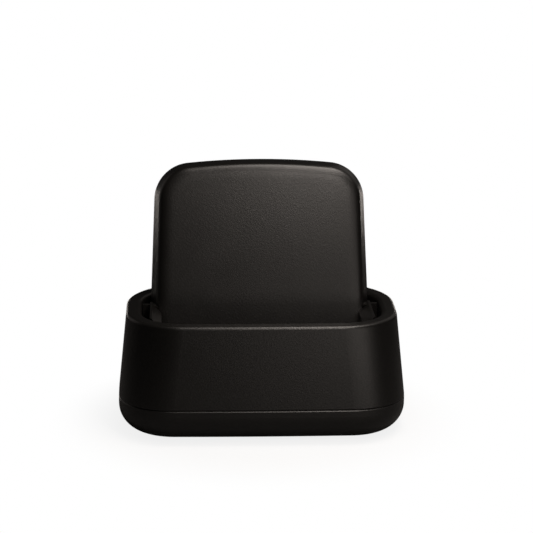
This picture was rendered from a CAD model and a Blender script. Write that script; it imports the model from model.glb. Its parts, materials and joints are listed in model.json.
"""Looks of an empty desktop charging cradle: finishes, finely moulded shells, studio and camera.

Metres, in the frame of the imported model: +X to the right seen from the front, +Y to the back, +Z up,
with the origin on the table under the middle of the base.
"""

import json
import math

import bpy
import numpy as np
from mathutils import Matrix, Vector


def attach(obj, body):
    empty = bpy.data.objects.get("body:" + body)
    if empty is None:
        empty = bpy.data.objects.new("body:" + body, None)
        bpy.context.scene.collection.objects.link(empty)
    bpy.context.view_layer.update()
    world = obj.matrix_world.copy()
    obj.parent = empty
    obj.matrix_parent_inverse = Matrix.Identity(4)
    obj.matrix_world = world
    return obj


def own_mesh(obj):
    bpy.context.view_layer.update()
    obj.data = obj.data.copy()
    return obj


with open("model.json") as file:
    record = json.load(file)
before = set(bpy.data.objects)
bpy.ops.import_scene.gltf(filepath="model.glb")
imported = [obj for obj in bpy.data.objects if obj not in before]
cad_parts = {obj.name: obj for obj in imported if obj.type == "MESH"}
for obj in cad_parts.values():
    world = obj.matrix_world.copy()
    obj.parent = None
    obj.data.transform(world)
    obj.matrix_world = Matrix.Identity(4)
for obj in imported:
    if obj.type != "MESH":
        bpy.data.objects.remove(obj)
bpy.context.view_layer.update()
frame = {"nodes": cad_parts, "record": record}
for node_object in frame["nodes"].values():
    node_object.data.materials.clear()
for plain in [material for material in bpy.data.materials if not material.users]:
    bpy.data.materials.remove(plain)

MM = 0.001

# sockets of the Mix node, which go by number because several share a name
MIX_FACTOR = 0
MIX_FLOAT_INPUTS = (2, 3)
MIX_COLOUR_INPUTS = (6, 7)
MIX_COLOUR_OUTPUT = 2


# ---------------------------------------------------------------- shader arithmetic
class Value:
    """A number that varies over a surface: an output socket that takes part in Python arithmetic."""

    def __init__(self, finish, socket):
        self.finish = finish
        self.socket = socket

    def math(self, operation, *others, swapped=False):
        """This value and others through one Math node."""
        values = [self, *others]
        if swapped:
            values.reverse()
        return self.finish.node("ShaderNodeMath", {"operation": operation}, dict(enumerate(values)))

    def __add__(self, other):
        return self.math("ADD", other)

    __radd__ = __add__

    def __mul__(self, other):
        return self.math("MULTIPLY", other)

    __rmul__ = __mul__

    def __sub__(self, other):
        return self.math("SUBTRACT", other)

    def __rsub__(self, other):
        return self.math("SUBTRACT", other, swapped=True)

    def __truediv__(self, other):
        return self.math("DIVIDE", other)

    def __rtruediv__(self, other):
        return self.math("DIVIDE", other, swapped=True)

    def clamped(self):
        """This value kept between 0 and 1."""
        return self.math("MINIMUM", 1.0).math("MAXIMUM", 0.0)


class Finish:
    """A procedural material, built node by node around one Principled shader."""

    def __init__(self, name):
        self.material = bpy.data.materials.new(name)
        self.material.use_nodes = True
        self.tree = self.material.node_tree
        self.tree.nodes.clear()
        self.output = self.tree.nodes.new("ShaderNodeOutputMaterial")

    def node(self, kind, settings=None, inputs=None, output=0):
        """Adds a node: its settings first, then the values or links of its input sockets."""
        made = self.tree.nodes.new(kind)
        for key, value in (settings or {}).items():
            setattr(made, key, value)
        for key, value in (inputs or {}).items():
            if isinstance(value, Value):
                self.tree.links.new(value.socket, made.inputs[key])
            else:
                made.inputs[key].default_value = value
        return Value(self, made.outputs[output])

    def place(self, stretch=(1, 1, 1)):
        """Object coordinates, stretched along the axes."""
        at = self.node("ShaderNodeTexCoord", output="Object")
        return self.node("ShaderNodeMapping", {}, {"Vector": at, "Scale": stretch})

    def noise(self, place, size, detail=2.0, roughness=0.5):
        """Cloudy pattern from 0 to 1, with features of a size in metres."""
        return self.node("ShaderNodeTexNoise", {},
                         {"Vector": place, "Scale": 1 / size, "Detail": detail, "Roughness": roughness})

    def cells(self, place, size, feature):
        """Distance pattern of packed cells of a size in metres."""
        return self.node("ShaderNodeTexVoronoi", {"feature": feature},
                         {"Vector": place, "Scale": 1 / size})

    def blend(self, factor, first, second):
        """Colour between two colours."""
        colours = dict(zip(MIX_COLOUR_INPUTS, ((*first, 1.0), (*second, 1.0))))
        return self.node("ShaderNodeMix", {"data_type": "RGBA"}, {MIX_FACTOR: factor, **colours},
                         MIX_COLOUR_OUTPUT)

    def bump(self, height, depth):
        """Surface relief of a depth in metres from a height pattern."""
        return self.node("ShaderNodeBump", {}, {"Height": height, "Distance": depth, "Strength": 1.0})

    def shade(self, **sockets):
        """Puts the Principled shader in place. Underscores in the names stand for spaces."""
        shader = self.tree.nodes.new("ShaderNodeBsdfPrincipled")
        for key, value in sockets.items():
            socket = shader.inputs[key.replace("_", " ")]
            if isinstance(value, Value):
                self.tree.links.new(value.socket, socket)
            elif socket.type == "RGBA":
                socket.default_value = (*value, 1.0)
            else:
                socket.default_value = value
        self.tree.links.new(shader.outputs[0], self.output.inputs["Surface"])
        return self.material


# ---------------------------------------------------------------- finishes
def textured_black(name, grain_size=0.42 * MM, grain_depth=0.022 * MM, base_roughness=0.29):
    """Black moulded plastic with a fine leathery spark texture and faint uneven gloss."""
    finish = Finish(name)
    place = finish.place()
    cells = finish.cells(place, grain_size, "SMOOTH_F1")
    fine = finish.noise(place, grain_size / 2, detail=3.0)
    cloud = finish.noise(place, 11 * MM, detail=3.0)
    relief = cells * 0.7 + fine * 0.5
    colour = finish.blend((fine * 0.5 + cloud * 0.5).clamped(), (0.0032, 0.0029, 0.0026),
                          (0.0052, 0.0047, 0.0042))
    return finish.shade(
        Base_Color=colour,
        Roughness=(base_roughness + cloud * 0.08 + fine * 0.06).clamped(),
        Normal=finish.bump(relief, grain_depth),
        Specular_IOR_Level=0.5,
    )


def foot_rubber():
    """Soft black rubber, matt, with a dusty bloom."""
    finish = Finish("foot_rubber")
    place = finish.place()
    dust = finish.noise(place, 1.6 * MM, detail=5.0, roughness=0.7)
    grain = finish.noise(place, 0.15 * MM)
    return finish.shade(
        Base_Color=finish.blend(dust, (0.012, 0.012, 0.012), (0.035, 0.034, 0.032)),
        Roughness=(0.72 + dust * 0.2).clamped(),
        Normal=finish.bump(grain, 0.02 * MM),
        Specular_IOR_Level=0.35,
    )


def drawn_metal(name, dark, bright, roughness, stretch=(1, 14, 14), streak=0.35 * MM):
    """Metal with fine streaks along one direction and slight tarnish."""
    finish = Finish(name)
    streaks = finish.noise(finish.place(stretch), streak, detail=3.0)
    tarnish = finish.noise(finish.place(), 2.5 * MM, detail=4.0, roughness=0.6)
    return finish.shade(
        Base_Color=finish.blend((streaks * 0.5 + tarnish * 0.5).clamped(), dark, bright),
        Metallic=1.0,
        Roughness=(roughness + tarnish * 0.12 + streaks * 0.08).clamped(),
        Normal=finish.bump(streaks, 0.004 * MM),
    )


def moulded_nylon():
    """Plain black nylon of the small mouldings, satin with a faint flow pattern."""
    finish = Finish("black_nylon")
    flow = finish.noise(finish.place((1, 1, 4)), 1.2 * MM, detail=3.0)
    grain = finish.noise(finish.place(), 0.08 * MM)
    return finish.shade(
        Base_Color=finish.blend(flow, (0.018, 0.018, 0.019), (0.03, 0.03, 0.032)),
        Roughness=(0.38 + flow * 0.12).clamped(),
        Normal=finish.bump(grain, 0.006 * MM),
    )


def board_laminate():
    """Green solder mask over copper tracks: raised tracks with a faint weave beneath."""
    finish = Finish("green_laminate")
    place = finish.place()
    tracks = finish.cells(place, 3.2 * MM, "DISTANCE_TO_EDGE")
    track = finish.node("ShaderNodeMapRange", {"interpolation_type": "SMOOTHSTEP"},
                        {"Value": tracks, "From Min": 0.04, "From Max": 0.08, "To Min": 1.0,
                         "To Max": 0.0})
    weave = finish.noise(finish.place((1, 6, 1)), 0.5 * MM)
    return finish.shade(
        Base_Color=finish.blend(track, (0.008, 0.075, 0.03), (0.03, 0.17, 0.07)),
        Roughness=(0.24 + weave * 0.12).clamped(),
        Normal=finish.bump(track + weave * 0.15, 0.03 * MM),
    )


def glazed_chip():
    """Dark ceramic body with pale tinned ends."""
    finish = Finish("ceramic_chip")
    speck = finish.noise(finish.place(), 0.25 * MM, detail=4.0)
    return finish.shade(
        Base_Color=finish.blend(speck, (0.05, 0.05, 0.055), (0.14, 0.14, 0.15)),
        Roughness=(0.3 + speck * 0.2).clamped(),
        Normal=finish.bump(speck, 0.006 * MM),
    )


shell_finish = textured_black("textured_black_plastic")
brass_finish = drawn_metal("brass", (0.52, 0.36, 0.13), (0.78, 0.58, 0.26), 0.26)
gold_finish = drawn_metal("gold_plating", (0.78, 0.55, 0.2), (0.95, 0.74, 0.36), 0.14, streak=0.2 * MM)
spring_finish = drawn_metal("spring_steel", (0.38, 0.38, 0.38), (0.62, 0.62, 0.62), 0.28)
zinc_finish = drawn_metal("zinc_plated_steel", (0.42, 0.44, 0.47), (0.68, 0.7, 0.73), 0.34,
                          stretch=(14, 1, 14))
tin_finish = drawn_metal("tinned_steel", (0.5, 0.51, 0.52), (0.78, 0.79, 0.8), 0.24)
can_finish = drawn_metal("aluminium_can", (0.6, 0.61, 0.63), (0.85, 0.86, 0.87), 0.3,
                         stretch=(14, 14, 1))
screw_finish = drawn_metal("screw_steel", (0.07, 0.07, 0.075), (0.2, 0.2, 0.21), 0.34)
finishes = {
    "textured_black_plastic": shell_finish,
    "foot_rubber": foot_rubber(),
    "brass": brass_finish,
    "gold_plating": gold_finish,
    "spring_steel": spring_finish,
    "zinc_plated_steel": zinc_finish,
    "tinned_steel": tin_finish,
    "aluminium_can": can_finish,
    "screw_steel": screw_finish,
    "black_nylon": moulded_nylon(),
    "green_laminate": board_laminate(),
    "ceramic_chip": glazed_chip(),
}
slot_of = {row["node"]: row["material_slot"] for row in frame["record"]["subparts"]}
for node_name, node_object in frame["nodes"].items():
    node_object.data.materials.append(finishes[slot_of[node_name]])

for side_name in ("left", "right"):       # the springs shorten with their contacts, from the lower end
    spring = "contact_spring_" + side_name
    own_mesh(frame["nodes"][spring])


# ---------------------------------------------------------------- the moulded face of the backrest
# Lengths in millimetres. The backrest's own axes start on its face at the height of the rim: heights
# run up the face, and depths run into the backrest.
RIM_HEIGHT = 33.9
FACE_Y = 1.75
LEAN = math.radians(11.0)  # backwards
BACKREST_RISE = 40.2
FRONT_HALF_TOP = 27.6      # half width of the front edge at the top
FRONT_HALF_LOW = 29.3      # and near the pocket floor
HALF_LOW_HEIGHT = -14.2    # where the lower half width is taken
SIDE_DRAFT = 1.8           # how far the front edge stands inside the rear edge, at the sides
TOP_DRAFT = 1.2            # and at the top
TOP_BOW = 2.1
CORNER_RADIUS = 10.5
SHELL_DEPTH = 6.2
FACE_LOW_END = -18.0       # just above the floor of the pocket
FACE_CROWN = 0.3           # how far the flat part stands in front of the solid
SIDE_PROUD = 0.04          # how far the sides are meant to stand outside it
TURN_ON_FACE = 4.5         # reach of the soft edge over the face
TURN_ON_SIDE = 2.2         # and down the side
TURN_SHARES = (1.0, 0.55, 0.22)     # its control points, as shares of those reaches
BULGE = 0.35               # of the face from top to bottom
BULGE_HEIGHT = 10.0        # where it is largest
BULGE_REACH = 29.0         # from there to where it ends
SKIN_THICKNESS = 0.4
WELD_DISTANCE = 0.002
OUTLINE_STEPS = (30, 30, 24)        # points on a side, a corner arc and half of the top arc
FACE_ROWS, TURN_ROWS, SIDE_ROWS = 12, 26, 4


def backrest_outline(side_inset, top_inset):
    """Front view of the backrest, from the low left end over the top to the low right end.

    Each half is a straight side, a corner arc and half of the shallow top arc. The corner's centre lies
    one corner radius inside the side, and as far from the centre of the top arc as the difference of
    the two radii. Returns the points and the outward normals, in the plane of the face.
    """
    crown = BACKREST_RISE - top_inset
    half_top = FRONT_HALF_TOP + SIDE_DRAFT - side_inset
    half_low = FRONT_HALF_LOW + SIDE_DRAFT - side_inset
    shoulder = np.array([half_top, crown - TOP_BOW])
    along = shoulder - np.array([half_low, HALF_LOW_HEIGHT])
    along /= np.linalg.norm(along)
    outward = np.array([along[1], -along[0]])
    corner = CORNER_RADIUS - (side_inset + top_inset) / 2
    top_radius = (half_top ** 2 + TOP_BOW ** 2) / (2 * TOP_BOW)
    top_centre = np.array([0.0, crown - top_radius])
    start = shoulder - corner * outward - top_centre
    reach = top_radius - corner
    back = start @ along
    travel = -back + math.sqrt(back ** 2 - (start @ start - reach ** 2))
    corner_centre = top_centre + start + travel * along
    touch = corner_centre - top_centre
    side_angle = math.atan2(outward[1], outward[0])
    top_angle = math.atan2(touch[1], touch[0])
    side_end = corner_centre + corner * outward
    side_count, corner_count, top_count = OUTLINE_STEPS
    low_travel = (FACE_LOW_END - side_end[1]) / along[1]
    fall = np.linspace(low_travel, 0.0, side_count, endpoint=False)[:, None]
    turns = np.linspace(side_angle, top_angle, corner_count, endpoint=False)[:, None]
    sweep = np.linspace(top_angle, math.pi / 2, top_count)[:, None]
    turned = np.hstack([np.cos(turns), np.sin(turns)])
    swept = np.hstack([np.cos(sweep), np.sin(sweep)])
    points = np.vstack([side_end + fall * along, corner_centre + corner * turned,
                        top_centre + top_radius * swept])
    normals = np.vstack([np.broadcast_to(outward, (side_count, 2)), turned, swept])
    mirror = np.array([-1.0, 1.0])
    return (np.vstack([points * mirror, points[-2::-1]]),
            np.vstack([normals * mirror, normals[-2::-1]]))


def soft_turn(draft):
    """Section of the soft edge: inset and height of a curve from the face on to the drafted side.

    A curve of the fifth degree whose first three and last three control points lie on the two straight
    parts, so that its bend starts and ends at nothing and the edge shows no hard line.
    """
    along_side = np.stack([np.sin(draft), -np.cos(draft)], -1)
    meet = np.stack([SIDE_PROUD / np.cos(draft) - FACE_CROWN * np.tan(draft),
                     FACE_CROWN + 0 * draft], -1)
    along_face = np.array([1.0, 0.0])
    control = [meet - along_face * TURN_ON_FACE * share for share in TURN_SHARES]
    control += [meet + along_side * TURN_ON_SIDE * share for share in reversed(TURN_SHARES)]
    degree = len(control) - 1
    u = np.linspace(0, 1, TURN_ROWS)[:, None, None]
    return sum(math.comb(degree, i) * u ** i * (1 - u) ** (degree - i) * point
               for i, point in enumerate(control))


def grid_mesh(name, rows):
    """Mesh of four-sided faces over an array of rows of points, in metres."""
    row_count, count = rows.shape[:2]
    index = np.arange(row_count * count).reshape(row_count, count)
    faces = np.stack([index[:-1, :-1], index[:-1, 1:], index[1:, 1:], index[1:, :-1]], -1)
    mesh = bpy.data.meshes.new(name)
    mesh.from_pydata(rows.reshape(-1, 3), [], faces.reshape(-1, 4).tolist())
    mesh.shade_smooth()
    piece = bpy.data.objects.new(name, mesh)
    bpy.context.scene.collection.objects.link(piece)
    return piece


def backrest_face():
    """Outer skin of the backrest: a faintly crowned face, a soft edge and the drafted sides.

    Rows run round the outline. The first rows lie across the face and shrink to the line between
    mirrored points of its border, then come the rows of the soft edge, and the last rows run back to
    the seam with the rear cover. From top to bottom the face bulges by a shallow parabola.
    """
    front, normals = backrest_outline(SIDE_DRAFT, TOP_DRAFT)
    rear, _ = backrest_outline(0.0, 0.0)
    draft = np.arctan2(np.linalg.norm(rear - front, axis=1), SHELL_DEPTH)
    edge = soft_turn(draft)
    share = np.linspace(0, 1, FACE_ROWS, endpoint=False)[:, None, None]
    border = front + normals * edge[0, :, :1]
    middle = border * np.array([0.0, 1.0])
    flat = middle + (border - middle) * share
    inner = np.concatenate([flat, np.full(flat.shape[:2] + (1,), FACE_CROWN)], -1)
    turn = np.concatenate([front + normals * edge[:, :, :1], edge[:, :, 1:]], -1)
    for rows in (inner, turn):
        rows[..., 2] += BULGE * (1 - ((rows[..., 1] - BULGE_HEIGHT) / BULGE_REACH) ** 2)
    seam = np.concatenate([rear + normals * SIDE_PROUD, np.full((len(rear), 1), -SHELL_DEPTH)], -1)
    down = turn[-1] + (seam - turn[-1]) * np.linspace(0, 1, SIDE_ROWS + 1)[1:, None, None]
    local = np.concatenate([inner, turn, down])
    across = np.array([1.0, 0.0, 0.0])
    up = np.array([0.0, math.sin(LEAN), math.cos(LEAN)])
    out = np.array([0.0, -math.cos(LEAN), math.sin(LEAN)])
    places = (np.array([0.0, FACE_Y, RIM_HEIGHT]) + local[..., :1] * across
              + local[..., 1:2] * up + local[..., 2:] * out)
    skin = grid_mesh("backrest_face", places * MM)
    weld = skin.modifiers.new("weld", "WELD")
    weld.merge_threshold = WELD_DISTANCE * MM
    thicken = skin.modifiers.new("thickness", "SOLIDIFY")
    thicken.thickness = SKIN_THICKNESS * MM
    thicken.offset = -1.0
    skin.data.materials.append(shell_finish)
    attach(skin, "cradle")


backrest_face()


# ---------------------------------------------------------------- studio
LAMP_COLOUR = (1.0, 0.91, 0.84)
LAMP_POWER = 1.06              # makes up for the colour
LAMP_TARGET = Vector((0, 0, 35 * MM))
# name: degrees to the right of the front, degrees above level, metres away, sides in metres, watts
LAMPS = {
    "key": (11, 30, 0.18, (0.03, 0.03), 0.0470),
    "middle": (20, 50, 0.2, (0.05, 0.05), 0.0680),
    "low_right": (30, 8, 0.2, (0.13, 0.13), 0.0280),
    "strip": (25, -4, 0.2, (0.2, 0.03), 0.0232),
    "low_strip_right": (48, -3, 0.2, (0.1, 0.03), 0.0040),
    "top": (25, 74, 0.185, (0.08, 0.08), 0.1129),
    "top_right": (60, 65, 0.2, (0.08, 0.08), 0.1120),
    "side_right": (85, 50, 0.2, (0.08, 0.08), 0.0120),
    "rear_right": (140, 30, 0.40, (0.30, 0.30), 0.06),
    "rear_strip": (180, -4, 0.25, (0.30, 0.03), 0.10),
    "rear_left": (-125, 15, 0.40, (0.25, 0.25), 0.04),
}
FLOOR_HALF = 1.5               # metres, half the side of the table top
FLOOR_DROP = 0.02 * MM         # under the feet
FADE_START, FADE_END = 0.032, 0.062     # metres from the middle, where the table turns white
FADE_LEAST = 0.84              # how white it is under the cradle
FLOOR_TINT = (0.16, 0.16, 0.16)         # of the table as the cradle sees it
WHITE = (1, 1, 1)
WORLD_LIGHT = 0.014            # on the cradle
WORLD_WHITE = 1.0              # to the camera


def soft_box(name, around, up, away, sides, power):
    """Soft box that looks at the cradle: degrees to the right of its front and above level."""
    turn, rise = math.radians(around), math.radians(up)
    toward = Vector((math.sin(turn) * math.cos(rise), -math.cos(turn) * math.cos(rise), math.sin(rise)))
    lamp = bpy.data.lights.new(name, "AREA")
    lamp.shape = "RECTANGLE"
    lamp.size, lamp.size_y = sides
    lamp.energy = power * LAMP_POWER
    lamp.color = LAMP_COLOUR
    holder = bpy.data.objects.new(name, lamp)
    holder.location = LAMP_TARGET + toward * away
    holder.rotation_euler = toward.to_track_quat("Z", "Y").to_euler()
    holder.visible_camera = False
    bpy.context.scene.collection.objects.link(holder)


def floor():
    """White table top that keeps the contact shadow and fades into the white behind it."""
    corners = [(x * FLOOR_HALF, y * FLOOR_HALF, -FLOOR_DROP)
               for x, y in ((-1, -1), (1, -1), (1, 1), (-1, 1))]
    mesh = bpy.data.meshes.new("floor")
    mesh.from_pydata(corners, [], [(0, 1, 2, 3)])
    table = bpy.data.objects.new("floor", mesh)
    bpy.context.scene.collection.objects.link(table)
    finish = Finish("floor")
    centre = finish.node("ShaderNodeTexCoord", output="Object")
    away = finish.node("ShaderNodeVectorMath", {"operation": "LENGTH"}, {0: centre}, output="Value")
    fade = finish.node("ShaderNodeMapRange", {"interpolation_type": "SMOOTHSTEP"},
                       {"Value": away, "From Min": FADE_START, "From Max": FADE_END,
                        "To Min": FADE_LEAST})
    seen = finish.node("ShaderNodeLightPath", output="Is Camera Ray")
    tint = finish.blend(seen, FLOOR_TINT, WHITE)
    plain = finish.node("ShaderNodeBsdfDiffuse", {}, {"Color": tint})
    white = finish.node("ShaderNodeEmission", {}, {"Color": (*WHITE, 1), "Strength": 1.0})
    look = finish.node("ShaderNodeMixShader", {}, {0: seen * fade, 1: plain, 2: white})
    finish.tree.links.new(look.socket, finish.output.inputs["Surface"])
    mesh.materials.append(finish.material)


def surroundings():
    """World: white for the camera, and a faint even light on the cradle."""
    world = bpy.data.worlds.new("surroundings")
    bpy.context.scene.world = world
    world.use_nodes = True
    tree = world.node_tree
    background = tree.nodes["Background"]
    background.inputs["Color"].default_value = (*WHITE, 1)
    paths = tree.nodes.new("ShaderNodeLightPath")
    strength = tree.nodes.new("ShaderNodeMix")
    for index, value in zip(MIX_FLOAT_INPUTS, (WORLD_LIGHT, WORLD_WHITE)):
        strength.inputs[index].default_value = value
    tree.links.new(paths.outputs["Is Camera Ray"], strength.inputs[MIX_FACTOR])
    tree.links.new(strength.outputs[0], background.inputs["Strength"])


floor()
surroundings()
for lamp_name, lamp_values in LAMPS.items():
    soft_box(lamp_name, *lamp_values)


# ---------------------------------------------------------------- camera
CAMERA_LENS = 143.6            # millimetres, on a sensor 36 mm wide
CAMERA_SHIFT = 0.077           # keeps the cradle in the middle
CAMERA_PLACE = Vector((-25, -577, 190.5)) * MM
CAMERA_DOWN, CAMERA_RIGHT = 14.18, 1.5      # degrees that it looks down and to the right

camera_data = bpy.data.cameras.new("camera")
camera_data.lens = CAMERA_LENS
camera_data.sensor_width = 36.0
camera_data.shift_x = CAMERA_SHIFT
camera_data.clip_start = 0.01
camera = bpy.data.objects.new("camera", camera_data)
camera.location = CAMERA_PLACE
camera.rotation_euler = (math.radians(90 - CAMERA_DOWN), 0, math.radians(-CAMERA_RIGHT))
bpy.context.scene.collection.objects.link(camera)
bpy.context.scene.camera = camera
bpy.context.scene.view_settings.view_transform = "Standard"
